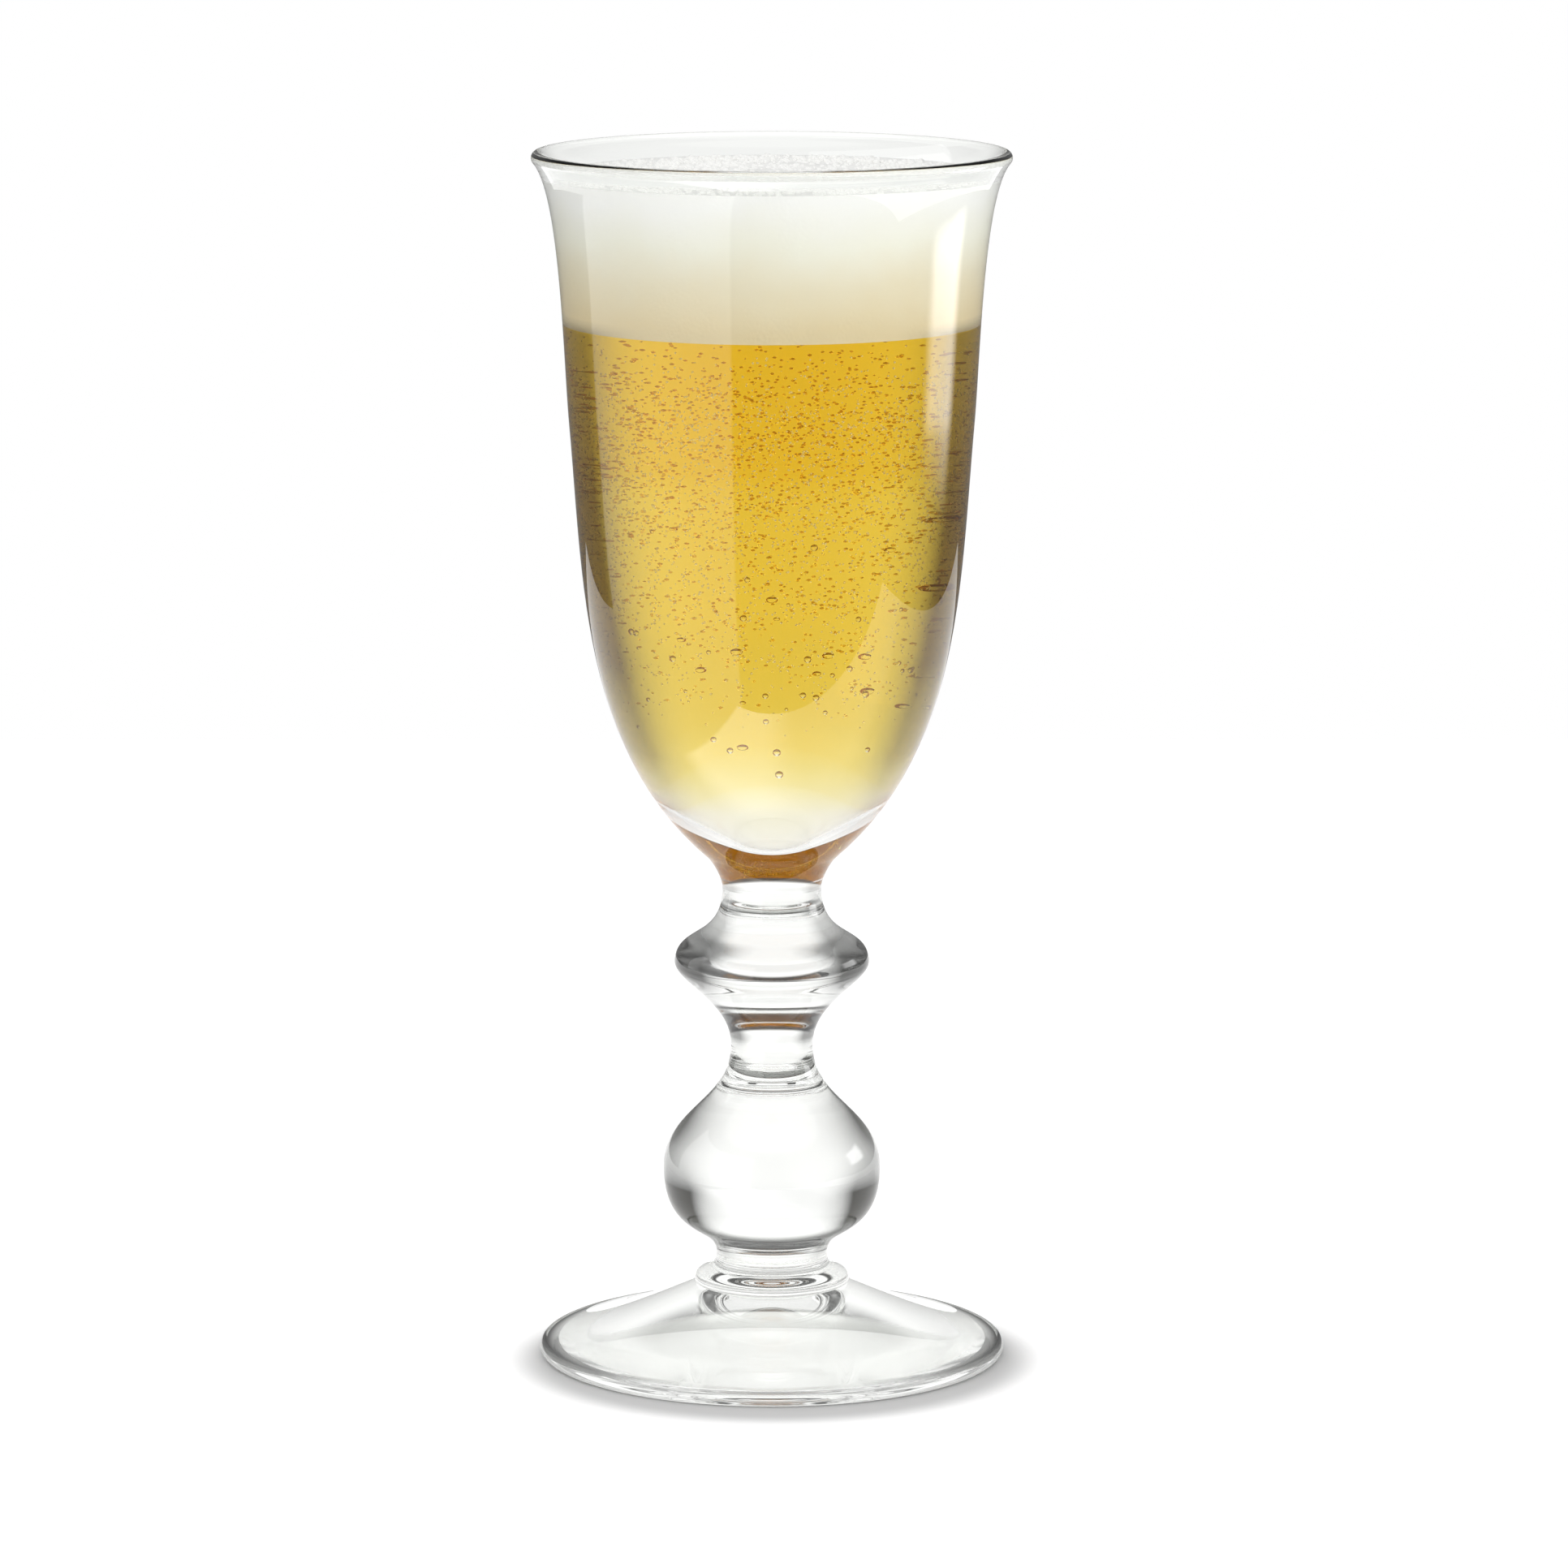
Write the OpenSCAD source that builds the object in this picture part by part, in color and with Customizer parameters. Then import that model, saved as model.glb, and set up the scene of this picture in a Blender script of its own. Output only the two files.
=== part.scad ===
// Stemmed pilsner glass with a baluster stem, filled with beer under a head of foam.
// Every piece is turned about the Z axis and stands on the one below it, from the foot up.
// Millimetres, +Z up, origin on the table at the centre of the foot.

/* [Foot] */
// Diameter of the foot
foot_diameter = 77.2; // [60:0.2:95]
// Height of the foot, from the table to the seam under the ring
foot_height = 12; // [10.4:0.2:16]
// Thickness of the rounded edge of the foot
foot_edge_thickness = 2.5; // [1.6:0.1:4]
// Width of the flat ring that touches the table
foot_rest_width = 2.4; // [1:0.1:5]
// Rise of the hollow under the foot, at its middle
foot_hollow_height = 8.6; // [1:0.1:9.6]

/* [Foot ring] */
// Diameter of the seam between the foot and the ring
boss_diameter = 24.6; // [21:0.2:30]
// Widest diameter of the ring
ring_diameter = 25.6; // [22:0.2:32]
// Height of the ring, from the foot to the seam under the ball knop
ring_height = 4.7; // [3:0.1:8]
// Height of the widest line of the ring above the foot
ring_bulge_height = 0.7; // [0.3:0.1:1.5]

/* [Ball knop] */
// Diameter of the waist between the ring and the ball knop
ankle_diameter = 18.4; // [14:0.2:21]
// Diameter of the ball knop
ball_diameter = 36; // [28:0.2:44]
// Height of the ball knop, from waist to waist
ball_height = 35.5; // [28:0.5:44]
// Height of the widest line of the ball knop above its lower waist
ball_equator_height = 14.7; // [11:0.1:19]

/* [Upper knop] */
// Diameter of the waist between the two knops
stem_diameter = 13.6; // [10:0.2:18]
// Diameter of the upper knop
knop_diameter = 32.2; // [24:0.2:40]
// Height of the upper knop, from waist to waist
knop_height = 26.4; // [21:0.2:34]
// Height of the widest line of the upper knop above its lower waist
knop_equator_height = 13.9; // [10:0.1:17]

/* [Bowl] */
// Diameter of the waist between the upper knop and the bowl
neck_diameter = 16.4; // [12:0.2:20]
// Height of the bowl, from the neck seam to the top of the rim
bowl_height = 121.4; // [100:0.2:150]
// Outer diameter where the flare of the neck turns into the cup
shoulder_diameter = 21.6; // [20.4:0.2:26]
// Height of that turn above the neck seam
shoulder_height = 5.2; // [4:0.1:8]
// Outer diameter half way up the cup
wall_diameter = 66.2; // [58:0.2:74]
// Height of that half-way line above the neck seam
wall_height = 77.1; // [65:0.1:88]
// Thickness of the wall at that half-way line
wall_thickness = 1.7; // [1:0.1:3]
// Thickness of the solid base, from the neck seam to the inside floor
base_thickness = 10.6; // [8:0.1:14]
// Radius of the rounded middle of the inside floor
floor_tip_radius = 9; // [6:0.5:14]

/* [Rim] */
// Outer diameter of the rim
rim_diameter = 78.2; // [72:0.2:86]
// Thickness of the fire-polished bead round the rim
rim_bead_thickness = 2.1; // [1.2:0.1:3]
// Lean of the lip away from upright, in degrees
lip_angle = 41; // [25:1:50]

/* [Drink] */
// Gap between the top of the rim and the edge of the foam
brim_gap = 3.8; // [2:0.1:20]
// Height of the head of foam at the wall
foam_height = 24.2; // [5:0.2:40]
// Rise of the foam from the wall to its middle
foam_crown = 0.9; // [0.3:0.1:1.6]

/* [Tool marks] */
// Radius of the rings left by the jacks on the hot stem
mark_radius = 0.4; // [0.2:0.05:0.8]
// Depth of those rings in the surface
mark_depth = 0.12; // [0.05:0.01:0.2]

/* [Hidden] */
$fn = 128;

// Straight pieces in one turned curve, and in one rounded edge
curve_steps = 28;
edge_steps = 14;

// Lean of the upper face of the foot from level, at its edge and at the ring, in degrees
foot_edge_slope = 9;
foot_boss_slope = 24;
// Reach of the two ends of that face, as shares of its width
foot_edge_pull_share = 0.28;
foot_boss_pull_share = 0.28;
// Reach of the two ends of the hollow, as shares of its radius
hollow_middle_pull_share = 0.34;
hollow_rim_pull_share = 0.35;
// Lean of the hollow from level where it meets the resting ring, in degrees
hollow_rim_slope = 7;

// Upright reach of each flank at its lower and upper end, as shares of its height
ring_pull_shares = [0.5, 0.72];
ball_low_pull_shares = [0.38, 0.81];
ball_high_pull_shares = [0.46, 0.48];
knop_low_pull_shares = [0.51, 0.21];
knop_high_pull_shares = [0.44, 0.73];
neck_pull_shares = [0.27, 0.27];
cup_pull_shares = [0.38, 0.364];
lip_pull_shares = [0.247, 0.16];

// Lean of the cup away from upright, at the shoulder and half way up, in degrees
shoulder_angle = 49;
wall_angle = 4.9;

// Lean of the inside floor away from upright, where its rounded middle ends, in degrees
floor_angle = 64;
// Reach of the inside of the cup at its lower and upper end, as shares of its height
inside_pull_shares = [0.42, 0.58];

// Places of the tool marks, as shares of the flank that carries them
ring_mark_shares = [0.62, 0.84];
ball_mark_shares = [0.70, 0.725, 0.765, 0.805];
knop_mark_shares = [0.66];

// Heights of the seams and levels above the table
ring_z = foot_height;
ball_z = ring_z + ring_height;
knop_z = ball_z + ball_height;
bowl_z = knop_z + knop_height;
rim_z = bowl_z + bowl_height;
floor_z = bowl_z + base_thickness;
foam_z = rim_z - brim_gap;
beer_z = foam_z - foam_height;

// Colours of the glass, the beer and the foam
glass_colour = [0.86, 0.9, 0.9, 0.45];
beer_colour = [0.86, 0.62, 0.1, 0.85];
foam_colour = [0.98, 0.96, 0.9];

// Point of a curve with four control points, a share of the way along it
function curve_at(p, share) =
    p[0] * pow(1 - share, 3) +
    p[1] * 3 * pow(1 - share, 2) * share +
    p[2] * 3 * (1 - share) * pow(share, 2) +
    p[3] * pow(share, 3);

// Points of a curve, without its first point, so that curves can be chained
function curve(p) = [for (i = [1 : curve_steps]) curve_at(p, i / curve_steps)];

// Points of a curve from its end back to its start, without its end
function curve_back(p) = [for (i = [1 : curve_steps]) curve_at(p, 1 - i / curve_steps)];

// Control points of an upright S from a low point to a high point
function flank(low, high, pull_shares) =
    let (rise = [0, high.y - low.y])
    [low, low + rise * pull_shares[0], high - rise * pull_shares[1], high];

// Direction that leans outwards from upright by an angle
function lean(angle) = [sin(angle), cos(angle)];

// Control points from a low point to a high point, each with its own lean
function leaning(low, low_angle, high, high_angle, pull_shares) =
    let (rise = high.y - low.y)
    [low, low + lean(low_angle) * rise * pull_shares[0],
        high - lean(high_angle) * rise * pull_shares[1], high];

// Points of an arc, ends included
function arc(centre, radius, from, to) =
    [for (i = [0 : edge_steps])
        let (angle = from + (to - from) * i / edge_steps)
        centre + radius * [cos(angle), sin(angle)]];

// Outer flanks of the stem, each from its lower to its upper end
function ring_flank() =
    flank([ring_diameter / 2, ring_z + ring_bulge_height], [ankle_diameter / 2, ball_z], ring_pull_shares);
function ball_low_flank() =
    flank([ankle_diameter / 2, ball_z], [ball_diameter / 2, ball_z + ball_equator_height],
        ball_low_pull_shares);
function ball_high_flank() =
    flank([ball_diameter / 2, ball_z + ball_equator_height], [stem_diameter / 2, knop_z],
        ball_high_pull_shares);
function knop_low_flank() =
    flank([stem_diameter / 2, knop_z], [knop_diameter / 2, knop_z + knop_equator_height],
        knop_low_pull_shares);
function knop_high_flank() =
    flank([knop_diameter / 2, knop_z + knop_equator_height], [neck_diameter / 2, bowl_z],
        knop_high_pull_shares);

// Bead of the rim, and the two points where the lip runs into it
function bead_centre() = [rim_diameter - rim_bead_thickness, 2 * rim_z - rim_bead_thickness] / 2;
function lip_outside() = bead_centre() + rim_bead_thickness / 2 * [cos(lip_angle), -sin(lip_angle)];
function lip_inside() = bead_centre() - rim_bead_thickness / 2 * [cos(lip_angle), -sin(lip_angle)];

// Outer and inner curves of the bowl, each from its lower to its upper end
function shoulder_point() = [shoulder_diameter / 2, bowl_z + shoulder_height];
function wall_point() = [wall_diameter / 2, bowl_z + wall_height];
function wall_inside() = wall_point() - [wall_thickness, 0];
function neck_curve() =
    leaning([neck_diameter / 2, bowl_z], 0, shoulder_point(), shoulder_angle, neck_pull_shares);
function cup_curve() =
    leaning(shoulder_point(), shoulder_angle, wall_point(), wall_angle, cup_pull_shares);
function lip_curve() =
    leaning(wall_point(), wall_angle, lip_outside(), lip_angle, lip_pull_shares);
function floor_centre() = [0, floor_z + floor_tip_radius];
function floor_edge() = floor_centre() + floor_tip_radius * [cos(floor_angle), -sin(floor_angle)];
function inside_cup_curve() =
    leaning(floor_edge(), floor_angle, wall_inside(), wall_angle, inside_pull_shares);
function inside_lip_curve() =
    leaning(wall_inside(), wall_angle, lip_inside(), lip_angle, lip_pull_shares);

// Upper face of the foot from its edge in to the ring, and the hollow from the middle out
function foot_edge_point() = [(foot_diameter - foot_edge_thickness) / 2, foot_edge_thickness];
function foot_face() =
    let (width = foot_edge_point().x - boss_diameter / 2)
    [foot_edge_point(),
        foot_edge_point() + [-cos(foot_edge_slope), sin(foot_edge_slope)] * width * foot_edge_pull_share,
        [boss_diameter / 2, ring_z] +
            [cos(foot_boss_slope), -sin(foot_boss_slope)] * width * foot_boss_pull_share,
        [boss_diameter / 2, ring_z]];
function foot_hollow() =
    let (radius = foot_edge_point().x - foot_rest_width)
    [[0, foot_hollow_height],
        [radius * hollow_middle_pull_share, foot_hollow_height],
        [radius, 0] +
            [-cos(hollow_rim_slope), sin(hollow_rim_slope)] * radius * hollow_rim_pull_share,
        [radius, 0]];

// Solid turned about the Z axis from an outline of radius and height
module turned(outline) {
    rotate_extrude() polygon(outline);
}

// Half-round rings pressed into a flank, at shares of the way along it
module tool_marks(flank, shares) {
    for (share = shares) {
        place = curve_at(flank, share);
        rotate_extrude()
            translate([place.x + mark_radius - mark_depth, place.y])
                circle(r = mark_radius);
    }
}

// Room inside the bowl up to the top of the rim
module cavity() {
    turned(concat(
        arc(floor_centre(), floor_tip_radius, -90, -floor_angle),
        curve(inside_cup_curve()),
        curve(inside_lip_curve()),
        [[lip_inside().x, rim_z], [0, rim_z]]));
}

// Foot: a low trumpet with a rounded edge, hollow below, standing on a flat ring
module foot() {
    color(glass_colour)
        turned(concat(
            [foot_hollow()[0]],
            curve(foot_hollow()),
            arc([foot_edge_point().x, foot_edge_thickness / 2], foot_edge_thickness / 2, -90, 90),
            curve(foot_face()),
            [[0, ring_z]]));
}

// Ring of glass between the foot and the ball knop
module foot_ring() {
    bulge = [ring_diameter / 2, ring_z + ring_bulge_height];
    edge = [boss_diameter / 2, ring_z];
    color(glass_colour)
        difference() {
            turned(concat(
                [[0, ring_z], edge],
                curve([edge, [bulge.x, edge.y], [bulge.x, edge.y], bulge]),
                curve(ring_flank()),
                [[0, ball_z]]));
            tool_marks(ring_flank(), ring_mark_shares);
        }
}

// Solid ball knop, drawn in to a waist at each end
module ball_knop() {
    color(glass_colour)
        difference() {
            turned(concat(
                [[0, ball_z], ball_low_flank()[0]],
                curve(ball_low_flank()),
                curve(ball_high_flank()),
                [[0, knop_z]]));
            tool_marks(ball_high_flank(), ball_mark_shares);
        }
}

// Solid angular knop under the bowl
module upper_knop() {
    color(glass_colour)
        difference() {
            turned(concat(
                [[0, knop_z], knop_low_flank()[0]],
                curve(knop_low_flank()),
                curve(knop_high_flank()),
                [[0, bowl_z]]));
            tool_marks(knop_high_flank(), knop_mark_shares);
        }
}

// Blown bowl with a thick base, a thin wall and a flared lip that ends in a bead
module bowl() {
    color(glass_colour)
        turned(concat(
            [[0, bowl_z], neck_curve()[0]],
            curve(neck_curve()),
            curve(cup_curve()),
            curve(lip_curve()),
            arc(bead_centre(), rim_bead_thickness / 2, -lip_angle, 180 - lip_angle),
            curve_back(inside_lip_curve()),
            curve_back(inside_cup_curve()),
            arc(floor_centre(), floor_tip_radius, -floor_angle, -90)));
}

// Beer, from the floor of the bowl up to the foam
module beer() {
    color(beer_colour)
        intersection() {
            cavity();
            translate([0, 0, floor_z])
                cylinder(r = rim_diameter, h = beer_z - floor_z);
        }
}

// Head of foam on the beer, with a low crown
module foam_head() {
    crown = [[0, foam_z + foam_crown], [rim_diameter / 4, foam_z + foam_crown],
        [rim_diameter / 4, foam_z], [rim_diameter / 2, foam_z]];
    color(foam_colour)
        intersection() {
            cavity();
            turned(concat([crown[0]], curve(crown), [[crown[3].x, beer_z], [0, beer_z]]));
        }
}

foot();
foot_ring();
ball_knop();
upper_knop();
bowl();
beer();
foam_head();
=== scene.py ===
"""Stemmed pilsner glass, filled with beer under a head of foam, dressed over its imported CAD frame.

Sizes are millimetres, in the frame of the CAD model, and become metres where a mesh is made.
"""

import logging
import math
import random
from collections.abc import Callable, Iterable, Sequence
from dataclasses import dataclass
from enum import Enum

import bpy
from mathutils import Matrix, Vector


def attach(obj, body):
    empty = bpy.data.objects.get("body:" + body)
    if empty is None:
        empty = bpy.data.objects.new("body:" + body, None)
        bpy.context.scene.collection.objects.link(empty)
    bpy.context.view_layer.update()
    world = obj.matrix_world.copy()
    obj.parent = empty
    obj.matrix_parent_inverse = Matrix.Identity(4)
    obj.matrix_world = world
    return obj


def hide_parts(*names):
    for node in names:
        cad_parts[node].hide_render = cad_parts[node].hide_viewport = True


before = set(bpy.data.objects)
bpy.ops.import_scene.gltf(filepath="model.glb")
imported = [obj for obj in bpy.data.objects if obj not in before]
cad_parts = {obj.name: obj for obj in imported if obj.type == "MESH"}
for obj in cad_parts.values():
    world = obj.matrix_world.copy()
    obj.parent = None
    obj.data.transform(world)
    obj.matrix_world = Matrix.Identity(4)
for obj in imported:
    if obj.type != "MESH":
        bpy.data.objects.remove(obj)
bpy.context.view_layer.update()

log = logging.getLogger("pilsner_glass")

MM = 0.001
BODY = "root"
PHOTO_WIDTH = 1932

WHITE = (1.0, 1.0, 1.0, 1.0)
GLASS_INDEX = 1.5
BEER_INDEX = 1.34

# A face this near a seam lies on it, and a normal this upright belongs to a level face.
SEAM_REACH = 0.01
LEVEL_NORMAL = 0.9

Colour = tuple[float, float, float]
Span = tuple[float, float]
Curve = tuple[Vector, Vector, Vector, Vector]
Bubble = tuple[Vector, float]
FaceTest = Callable[[Vector, Vector], bool]


class Slot(Enum):
    """Material slots of the record."""

    GLASS = "clear_glass"
    BEER = "beer"
    FOAM = "foam"


class Ray(Enum):
    """Outputs of the Light Path node that the stage uses: kinds of ray, and counts of its bounces."""

    CAMERA = "Is Camera Ray"
    GLOSSY = "Is Glossy Ray"
    TRANSMISSION = "Is Transmission Ray"
    LIT = "Diffuse Depth"
    CROSSED = "Transmission Depth"


def spot(radius: float, height: float) -> Vector:
    """Gives a point of a half-section, from its radius and height."""
    return Vector((radius, height))


def lean(degrees: float) -> Vector:
    """Gives the direction that leans outwards from upright by an angle."""
    angle = math.radians(degrees)
    return spot(math.sin(angle), math.cos(angle))


def flank(low: Vector, high: Vector, pulls: Span) -> Curve:
    """Draws an upright S between two points.

    Args:
        low: Lower end of the curve.
        high: Upper end of the curve.
        pulls: Upright reach at each end, as shares of the rise.

    Returns:
        The four control points of the curve.
    """
    rise = spot(0.0, high.y - low.y)
    return low, low + rise * pulls[0], high - rise * pulls[1], high


def leaning(low: Vector, low_lean: float, high: Vector, high_lean: float, pulls: Span) -> Curve:
    """Draws a curve that leans by its own angle at each end.

    Args:
        low: Lower end of the curve.
        low_lean: Lean from upright at the lower end, in degrees.
        high: Upper end of the curve.
        high_lean: Lean from upright at the upper end, in degrees.
        pulls: Reach at each end, as shares of the rise.

    Returns:
        The four control points of the curve.
    """
    rise = high.y - low.y
    return low, low + lean(low_lean) * rise * pulls[0], high - lean(high_lean) * rise * pulls[1], high


def point_on(curve: Curve, share: float) -> Vector:
    """Finds a point on a curve.

    Args:
        curve: The four control points of the curve.
        share: Place of the point, as a share of the way along.

    Returns:
        The point.
    """
    rest = 1.0 - share
    a, b, c, d = curve
    return a * rest**3 + b * (3 * rest * rest * share) + c * (3 * rest * share * share) + d * share**3


def split(curve: Curve, share: float) -> tuple[Curve, Curve]:
    """Cuts a curve in two.

    Args:
        curve: The four control points of the curve.
        share: Place of the cut, as a share of the way along.

    Returns:
        The part before the cut and the part after it.
    """
    a, b, c, d = curve
    ab, bc, cd = a.lerp(b, share), b.lerp(c, share), c.lerp(d, share)
    abc, bcd = ab.lerp(bc, share), bc.lerp(cd, share)
    cut = abc.lerp(bcd, share)
    return (a, ab, abc, cut), (cut, bcd, cd, d)


def share_at_height(curve: Curve, height: float, halvings: int = 40) -> float:
    """Finds where a rising curve reaches a height.

    Args:
        curve: The four control points of a curve that rises all the way.
        height: Height to look for.
        halvings: Times that the search is narrowed.

    Returns:
        The place, as a share of the way along.
    """
    low, high = 0.0, 1.0
    for _ in range(halvings):
        middle = (low + high) / 2
        if point_on(curve, middle).y < height:
            low = middle
        else:
            high = middle
    return (low + high) / 2


def reverse(curve: Curve) -> Curve:
    """Gives the same curve, drawn from its end to its start."""
    return curve[3], curve[2], curve[1], curve[0]


def shift(curve: Curve, move: Vector) -> Curve:
    """Gives the curve moved by a step."""
    return curve[0] + move, curve[1] + move, curve[2] + move, curve[3] + move


def around(radius: float, angle: float, height: float) -> Vector:
    """Gives the place at a radius and an angle about the axis, and at a height."""
    return Vector((radius * math.cos(angle), radius * math.sin(angle), height))


class Outline:
    """Half-section of a turned piece: curves chained end to end."""

    MEASURE_STEPS = 32

    def __init__(self) -> None:
        """Starts with no curve."""
        self.curves: list[Curve] = []

    def add(self, *curves: Curve) -> "Outline":
        """Appends curves and returns the outline, so that calls chain."""
        self.curves.extend(curves)
        return self

    def arc(self, centre: Vector, radius: float, start: float, end: float) -> "Outline":
        """Appends an arc, in quarter turns or less.

        Args:
            centre: Centre of the arc.
            radius: Radius of the arc.
            start: First angle, in degrees from the outward direction.
            end: Last angle.

        Returns:
            The outline, so that calls chain.
        """
        parts = math.ceil(abs(end - start) / 90)
        turn = math.radians((end - start) / parts)
        reach = 4 / 3 * math.tan(turn / 4) * radius
        for i in range(parts):
            first = math.radians(start) + turn * i
            last = first + turn
            a = centre + spot(math.cos(first), math.sin(first)) * radius
            d = centre + spot(math.cos(last), math.sin(last)) * radius
            self.add((
                a,
                a + spot(-math.sin(first), math.cos(first)) * reach,
                d - spot(-math.sin(last), math.cos(last)) * reach,
                d,
            ))
        return self

    def marked(self, curve: Curve, shares: Sequence[float], width: float, depth: float) -> "Outline":
        """Appends a flank with fine rings pressed into it.

        Args:
            curve: The four control points of the flank.
            shares: Places of the rings, as rising shares of the way along.
            width: Width of a ring along the flank.
            depth: Depth of a ring.

        Returns:
            The outline, so that calls chain.
        """
        points = [point_on(curve, i / self.MEASURE_STEPS) for i in range(self.MEASURE_STEPS + 1)]
        length = sum((after - before).length for before, after in zip(points, points[1:]))
        half = width / length / 2
        done, rest = 0.0, curve
        for share in shares:
            before, rest = split(rest, (share - half - done) / (1 - done))
            dip, rest = split(rest, 2 * half / (1 - share + half))
            done = share + half
            along = (dip[3] - dip[0]).normalized()
            inward = spot(-along.y, along.x) * depth
            floor = (dip[0] + dip[3]) / 2 + inward
            reach = along * (width / 4)
            self.add(before, (dip[0], dip[0] + reach, floor - reach, floor))
            self.add((floor, floor + reach, dip[3] - reach, dip[3]))
        return self.add(rest)


class Bench:
    """Operators that pieces are modelled with, one step of the work each."""

    WELD = 0.002 * MM
    SMOOTH_ANGLE = 36.0
    BEAD_FLATNESS = 0.9

    @staticmethod
    def clear() -> None:
        """Leaves edit mode and deselects everything."""
        if bpy.context.mode != "OBJECT":
            bpy.ops.object.mode_set(mode="OBJECT")
        bpy.ops.object.select_all(action="DESELECT")

    @classmethod
    def take(cls, piece: bpy.types.Object) -> None:
        """Makes a piece the only selected object, and the active one.

        Args:
            piece: The piece.
        """
        cls.clear()
        piece.select_set(True)
        bpy.context.view_layer.objects.active = piece

    @classmethod
    def turn(cls, name: str, outline: Outline, steps: int, segments: int) -> bpy.types.Object:
        """Turns a half-section about the upright axis into a closed, smooth piece.

        Args:
            name: Name of the piece.
            outline: Half-section, from its lower or inner end.
            steps: Straight pieces in each curve of the outline.
            segments: Pieces round the axis.

        Returns:
            The piece.
        """
        cls.clear()
        bpy.ops.curve.primitive_bezier_curve_add()
        blank = bpy.context.object
        blank.name = blank.data.name = name
        blank.data.dimensions = "3D"
        spline = blank.data.splines[0]
        spline.resolution_u = steps
        spline.bezier_points.add(len(outline.curves) - 1)
        knots = [outline.curves[0][0]] + [curve[3] for curve in outline.curves]
        before = [knots[0]] + [curve[2] for curve in outline.curves]
        after = [curve[1] for curve in outline.curves] + [knots[-1]]
        for point, knot, left, right in zip(spline.bezier_points, knots, before, after):
            point.handle_left_type = point.handle_right_type = "FREE"
            point.co, point.handle_left, point.handle_right = (
                (place.x * MM, 0.0, place.y * MM) for place in (knot, left, right)
            )
        bpy.ops.object.convert(target="MESH")
        bpy.ops.object.mode_set(mode="EDIT")
        bpy.ops.mesh.select_mode(type="VERT")
        bpy.ops.mesh.select_all(action="SELECT")
        bpy.ops.mesh.spin(steps=segments, angle=math.tau, center=(0, 0, 0), axis=(0, 0, 1))
        bpy.ops.mesh.select_all(action="SELECT")
        bpy.ops.mesh.remove_doubles(threshold=cls.WELD)
        bpy.ops.mesh.select_all(action="SELECT")
        bpy.ops.mesh.fill_holes(sides=0)
        bpy.ops.mesh.select_all(action="SELECT")
        bpy.ops.mesh.normals_make_consistent(inside=False)
        bpy.ops.object.mode_set(mode="OBJECT")
        bpy.ops.object.shade_smooth_by_angle(angle=math.radians(cls.SMOOTH_ANGLE))
        return bpy.context.object

    @classmethod
    def coat(
        cls, piece: bpy.types.Object, finish: bpy.types.Material, test: FaceTest | None = None
    ) -> None:
        """Puts a finish on a piece, or on those of its faces that pass a test.

        Args:
            piece: The piece.
            finish: Material to put on.
            test: Says yes or no to a face from its centre, in millimetres, and its normal.
        """
        cls.take(piece)
        piece.data.materials.append(finish)
        piece.active_material_index = len(piece.data.materials) - 1
        mesh = piece.data
        for part in (mesh.vertices, mesh.edges):
            part.foreach_set("select", [False] * len(part))
        chosen = [test is None or test(face.center / MM, face.normal) for face in mesh.polygons]
        mesh.polygons.foreach_set("select", chosen)
        bpy.context.tool_settings.mesh_select_mode = (False, False, True)
        bpy.ops.object.mode_set(mode="EDIT")
        bpy.ops.object.material_slot_assign()
        bpy.ops.object.mode_set(mode="OBJECT")

    @classmethod
    def scatter(cls, name: str, model: bpy.types.Object, bubbles: Sequence[Bubble]) -> bpy.types.Object:
        """Sets a copy of a small model, as real geometry, at each of many places.

        Args:
            name: Name of the piece that holds all copies.
            model: The small model, one millimetre in radius, which is removed afterwards.
            bubbles: Centre and radius of each copy, in millimetres.

        Returns:
            The piece.
        """
        mesh = bpy.data.meshes.new(name)
        mesh.from_pydata([place * MM for place, _ in bubbles], [], [])
        sizes = [size for _, size in bubbles]
        mesh.attributes.new("radius", "FLOAT", "POINT").data.foreach_set("value", sizes)
        piece = bpy.data.objects.new(name, mesh)
        bpy.context.scene.collection.objects.link(piece)
        group = bpy.data.node_groups.new(name, "GeometryNodeTree")
        group.interface.new_socket("Geometry", in_out="INPUT", socket_type="NodeSocketGeometry")
        group.interface.new_socket("Geometry", in_out="OUTPUT", socket_type="NodeSocketGeometry")
        board = Board(group)
        radius = board.node("GeometryNodeInputNamedAttribute", {"data_type": "FLOAT"}, {"Name": "radius"})
        copies = board.node("GeometryNodeInstanceOnPoints", {}, {
            "Points": board.node("NodeGroupInput"),
            "Instance": board.node("GeometryNodeObjectInfo", {}, {"Object": model}, out="Geometry"),
            "Scale": radius,
        })
        real = board.node("GeometryNodeRealizeInstances", {}, {"Geometry": copies})
        board.node("NodeGroupOutput", {}, {"Geometry": real})
        cls.take(piece)
        modifier = piece.modifiers.new("copies", "NODES")
        modifier.node_group = group
        bpy.ops.object.modifier_apply(modifier=modifier.name)
        bpy.data.node_groups.remove(group)
        bpy.data.objects.remove(model)
        return piece

    @classmethod
    def bead(cls, name: str, fineness: int) -> bpy.types.Object:
        """Models one small round bubble, one millimetre in radius and a little flatter than a ball.

        Args:
            name: Name of the model.
            fineness: Times that its faces are divided, from 1.

        Returns:
            The model.
        """
        cls.clear()
        bpy.ops.mesh.primitive_ico_sphere_add(subdivisions=fineness, radius=MM)
        model = bpy.context.object
        model.name = name
        bpy.ops.object.mode_set(mode="EDIT")
        bpy.ops.mesh.select_all(action="SELECT")
        bpy.ops.transform.resize(value=(1.0, 1.0, cls.BEAD_FLATNESS))
        bpy.ops.object.mode_set(mode="OBJECT")
        bpy.ops.object.shade_smooth()
        return model


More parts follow.
